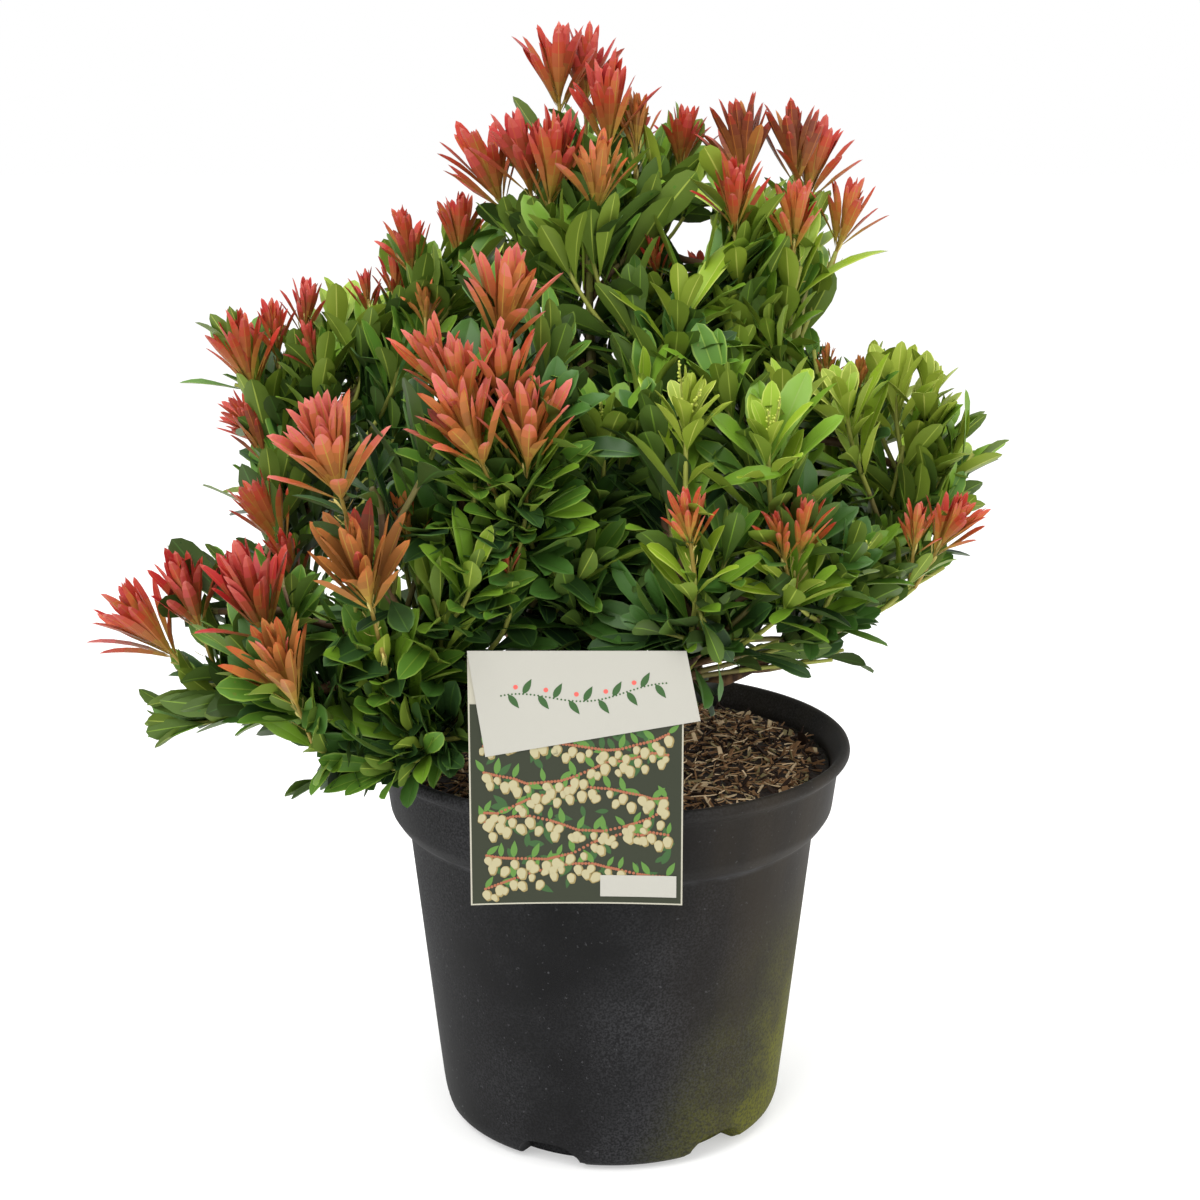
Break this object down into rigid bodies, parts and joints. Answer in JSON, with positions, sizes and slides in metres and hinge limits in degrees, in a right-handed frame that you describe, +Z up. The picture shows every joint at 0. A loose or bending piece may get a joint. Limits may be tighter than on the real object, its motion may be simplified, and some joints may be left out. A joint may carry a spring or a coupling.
{
  "type": "potted pieris shrub",
  "caption": "Evergreen pieris shrub with red and salmon young leaves over green foliage, growing in a round black nursery pot with a hanging picture label.",
  "frame": {"origin": "centre of the pot's flat underside", "axes": "+Z up, +X to the right seen from the label side, the label faces -Y"},
  "size_m": [0.4676, 0.371, 0.5902],
  "materials": {
    "pot_plastic": "dusty black moulded plastic with green algae low on one side",
    "compost": "dark peat compost with bark chips and fibres",
    "label_print": null,
    "bark": "fissured brown bark, yellow-green on young shoots",
    "green_leaves": "leathery green leaves with pale midribs",
    "flush_leaves": "thin young leaves, crimson, salmon and orange"
  },
  "bodies": {
    "root": {"pot": "pot_plastic", "soil": "compost", "label": "label_print", "trunk": "bark", "bough_leader": "bark", "heart": "green_leaves", "bough_left": "bark", "flank_left": "green_leaves", "bough_front_left": "bark", "front_left": "green_leaves", "bough_front_right": "bark", "under_right": "green_leaves", "bough_right": "bark", "right_under": "green_leaves", "bough_back_right": "bark", "back_low_right": "green_leaves", "bough_back_left": "bark", "back_low_left": "green_leaves", "stem_crest": "bark", "crest_front": "green_leaves", "stem_spire_left": "bark", "right_high": "green_leaves", "spire_left": "green_leaves", "stem_spire_right": "bark", "spire_right": "green_leaves", "crest_tip": "flush_leaves", "crest_left": "flush_leaves", "crest_right": "green_leaves", "crest_back": "green_leaves", "shoulder_left_high": "green_leaves", "shoulder_left_mid": "green_leaves", "shoulder_left_tip": "green_leaves", "left_middle": "green_leaves", "salmon_high": "flush_leaves", "salmon_left": "flush_leaves", "salmon_right": "flush_leaves", "spear_pink": "flush_leaves", "spear_bronze": "flush_leaves", "low_left_tip": "flush_leaves", "low_left_crimson": "flush_leaves", "low_left_front": "green_leaves", "low_left_under": "green_leaves", "rim_left": "green_leaves", "front_core": "green_leaves", "front_low": "green_leaves", "centre_high": "green_leaves", "centre_mid": "green_leaves", "centre_right": "green_leaves", "front_right": "green_leaves", "front_right_twin": "green_leaves", "right_shoulder": "green_leaves", "right_tip": "green_leaves", "right_tip_low": "green_leaves", "right_low": "green_leaves", "back_left_high": "green_leaves", "back_right_high": "green_leaves", "back_left": "green_leaves", "back_right": "green_leaves", "back_middle_left": "green_leaves", "back_middle_right": "green_leaves"}
  },
  "joints": []
}
